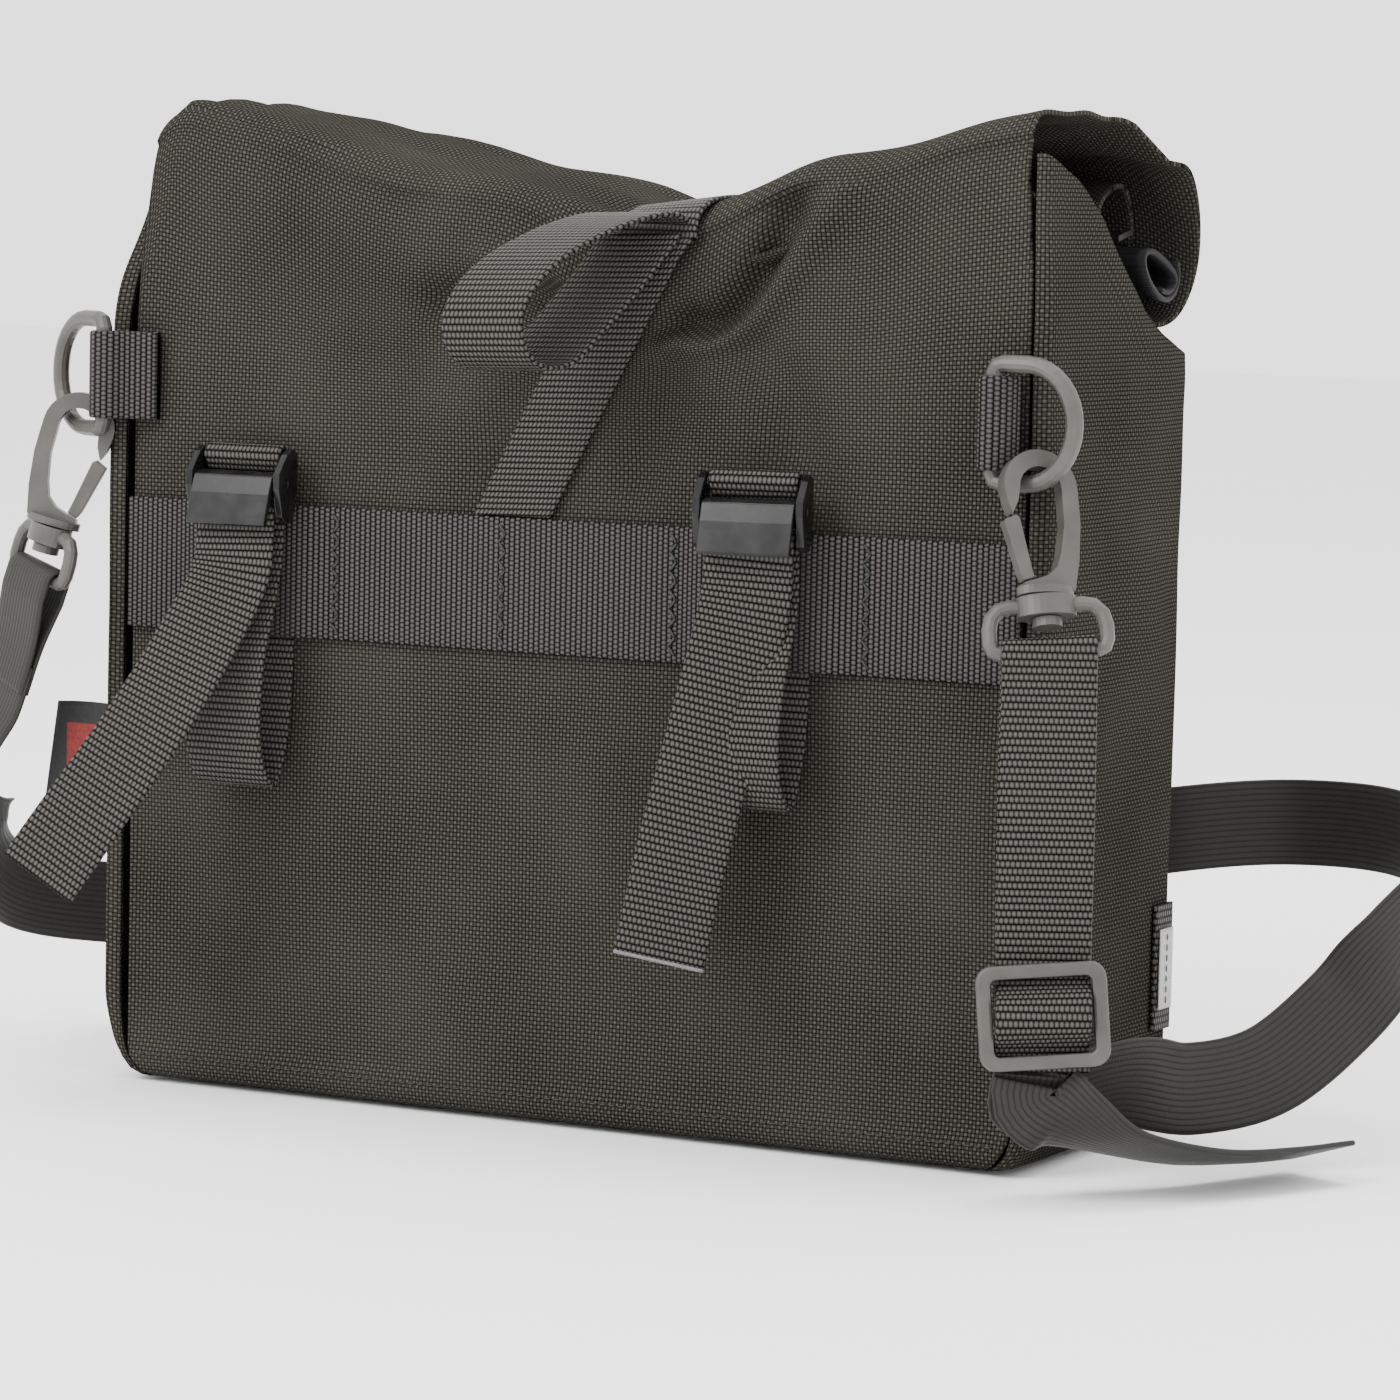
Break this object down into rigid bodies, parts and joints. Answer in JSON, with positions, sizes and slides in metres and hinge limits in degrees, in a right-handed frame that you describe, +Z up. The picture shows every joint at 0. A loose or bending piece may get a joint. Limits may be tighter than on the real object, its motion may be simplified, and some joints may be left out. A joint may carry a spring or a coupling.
{
  "type": "pannier bag",
  "caption": "Roll-top fabric pannier bag with cam-buckle mounting straps, D-rings, snap hooks and an adjustable shoulder strap.",
  "frame": {"origin": "centre of the base on the ground", "axes": "+Z up; -Y out of the mounting side, which carries the wide webbing band and the cam buckles; +X to the right when facing that side"},
  "size_m": [0.4431, 0.2278, 0.2868],
  "materials": {
    "bag_cloth": "coarse plain-weave pack cloth, dark olive charcoal",
    "hem_webbing": "smooth dark webbing",
    "band_webbing": "heavy ribbed webbing",
    "webbing": "ribbed charcoal webbing",
    "board": "plastic sheet",
    "reflective_tape": "silver-white retroreflective tape",
    "label": "woven label, plain",
    "black_metal": "glossy black plated steel",
    "grey_plastic": "warm dark-grey moulded acetal"
  },
  "bodies": {
    "bag": {"front_panel": "bag_cloth", "back_panel": "bag_cloth", "left_gusset": "bag_cloth", "right_gusset": "bag_cloth", "base_panel": "bag_cloth", "base_board": "board", "mount_band": "band_webbing", "left_buckle_frame": "black_metal", "left_buckle_pin": "black_metal", "right_buckle_frame": "black_metal", "right_buckle_pin": "black_metal", "left_cam_strap": "webbing", "right_cam_strap": "webbing", "centre_strap": "webbing", "front_pull_loop": "webbing", "rear_cinch_strap": "webbing", "left_ring_tab": "webbing", "right_ring_tab": "webbing", "label_tag": "label", "light_loop": "webbing", "reflective_strip": "reflective_tape", "strap_left_end_loop": "webbing", "shoulder_strap_run": "webbing", "strap_adjuster_loop": "webbing", "strap_tail": "webbing"},
    "top": {"rolled_top": "bag_cloth", "upper_back_panel": "bag_cloth", "roll_hem_webbing": "hem_webbing", "roll_stiffener": "board", "closure_strap": "webbing", "rear_buckle_frame": "black_metal", "rear_buckle_pin": "black_metal"},
    "left_lever": {"left_cam_lever": "black_metal"},
    "right_lever": {"right_cam_lever": "black_metal"},
    "rear_lever": {"rear_cam_lever": "black_metal"},
    "left_ring": {"left_d_ring": "grey_plastic"},
    "right_ring": {"right_d_ring": "grey_plastic"},
    "left_hook": {"left_snap_hook": "grey_plastic"},
    "right_hook": {"right_snap_hook": "grey_plastic"},
    "left_gate": {"left_hook_gate": "grey_plastic"},
    "right_gate": {"right_hook_gate": "grey_plastic"},
    "left_eye": {"left_swivel_eye": "grey_plastic"},
    "right_eye": {"right_swivel_eye": "grey_plastic"},
    "adjuster": {"strap_slider": "grey_plastic"}
  },
  "joints": [
    {"name": "top_unroll", "type": "hinge", "parent": "bag", "child": "top", "pos_m": [0, -0.0492, 0.2765], "axis": [1, 0, 0], "range_deg": [0, 105], "deforming": ["rear_cinch_strap"]},
    {"name": "left_lever_pivot", "type": "hinge", "parent": "bag", "child": "left_lever", "pos_m": [-0.099, -0.0615, 0.1786], "axis": [-1, 0, 0], "range_deg": [0, 60], "stiffness_Nm_per_rad": 0.02, "springref_deg": -17.19},
    {"name": "right_lever_pivot", "type": "hinge", "parent": "bag", "child": "right_lever", "pos_m": [0.06878, -0.06493, 0.1786], "axis": [-0.9848, -0.1736, 0], "range_deg": [0, 60], "stiffness_Nm_per_rad": 0.02, "springref_deg": -17.19},
    {"name": "rear_lever_pivot", "type": "hinge", "parent": "top", "child": "rear_lever", "pos_m": [0.012, 0.0615, 0.1566], "axis": [1, 0, 0], "range_deg": [0, 60], "stiffness_Nm_per_rad": 0.02, "springref_deg": -17.19},
    {"name": "left_ring_pivot", "type": "hinge", "parent": "bag", "child": "left_ring", "pos_m": [-0.15, -0.056, 0.2075], "axis": [0, 0, 1], "range_deg": [0, 75], "deforming": ["strap_left_end_loop", "shoulder_strap_run"]},
    {"name": "right_ring_pivot", "type": "hinge", "parent": "bag", "child": "right_ring", "pos_m": [0.137, -0.057, 0.205], "axis": [0, 0, -1], "range_deg": [0, 75], "deforming": ["strap_adjuster_loop", "strap_tail", "shoulder_strap_run"]},
    {"name": "left_hook_swing", "type": "hinge", "parent": "left_ring", "child": "left_hook", "pos_m": [-0.16092, -0.05102, 0.19246], "axis": [-0.8978, 0.4092, 0.1628], "range_deg": [0, 30], "deforming": ["strap_left_end_loop", "shoulder_strap_run"]},
    {"name": "right_hook_swing", "type": "hinge", "parent": "right_ring", "child": "right_hook", "pos_m": [0.1504, -0.057, 0.1899], "axis": [-1, 0, 0], "range_deg": [0, 30], "deforming": ["strap_adjuster_loop", "strap_tail", "shoulder_strap_run"]},
    {"name": "left_gate_flex", "type": "hinge", "parent": "left_hook", "child": "left_gate", "pos_m": [-0.16255, -0.0518, 0.16582], "axis": [0.4305, -0.9026, 0], "range_deg": [0, 20], "stiffness_Nm_per_rad": 0.02, "springref_deg": -5.73},
    {"name": "right_gate_flex", "type": "hinge", "parent": "right_hook", "child": "right_gate", "pos_m": [0.1528, -0.06782, 0.1647], "axis": [-0.7232, 0.6069, -0.3296], "range_deg": [0, 20], "stiffness_Nm_per_rad": 0.02, "springref_deg": -5.73},
    {"name": "left_eye_swivel", "type": "hinge", "parent": "left_hook", "child": "left_eye", "pos_m": [-0.1703, -0.0555, 0.15468], "axis": [-0.2346, -0.1119, -0.9656], "continuous": true, "deforming": ["strap_left_end_loop"]},
    {"name": "right_eye_swivel", "type": "hinge", "parent": "right_hook", "child": "right_eye", "pos_m": [0.1592, -0.067, 0.15218], "axis": [0.22, -0.25, -0.9429], "continuous": true, "deforming": ["strap_adjuster_loop"]},
    {"name": "adjuster_slide", "type": "slide", "parent": "right_hook", "child": "adjuster", "axis": [-0.0649, 0.1167, 0.991], "range_m": [0, 0.045], "deforming": ["strap_adjuster_loop", "strap_tail", "shoulder_strap_run"]}
  ]
}
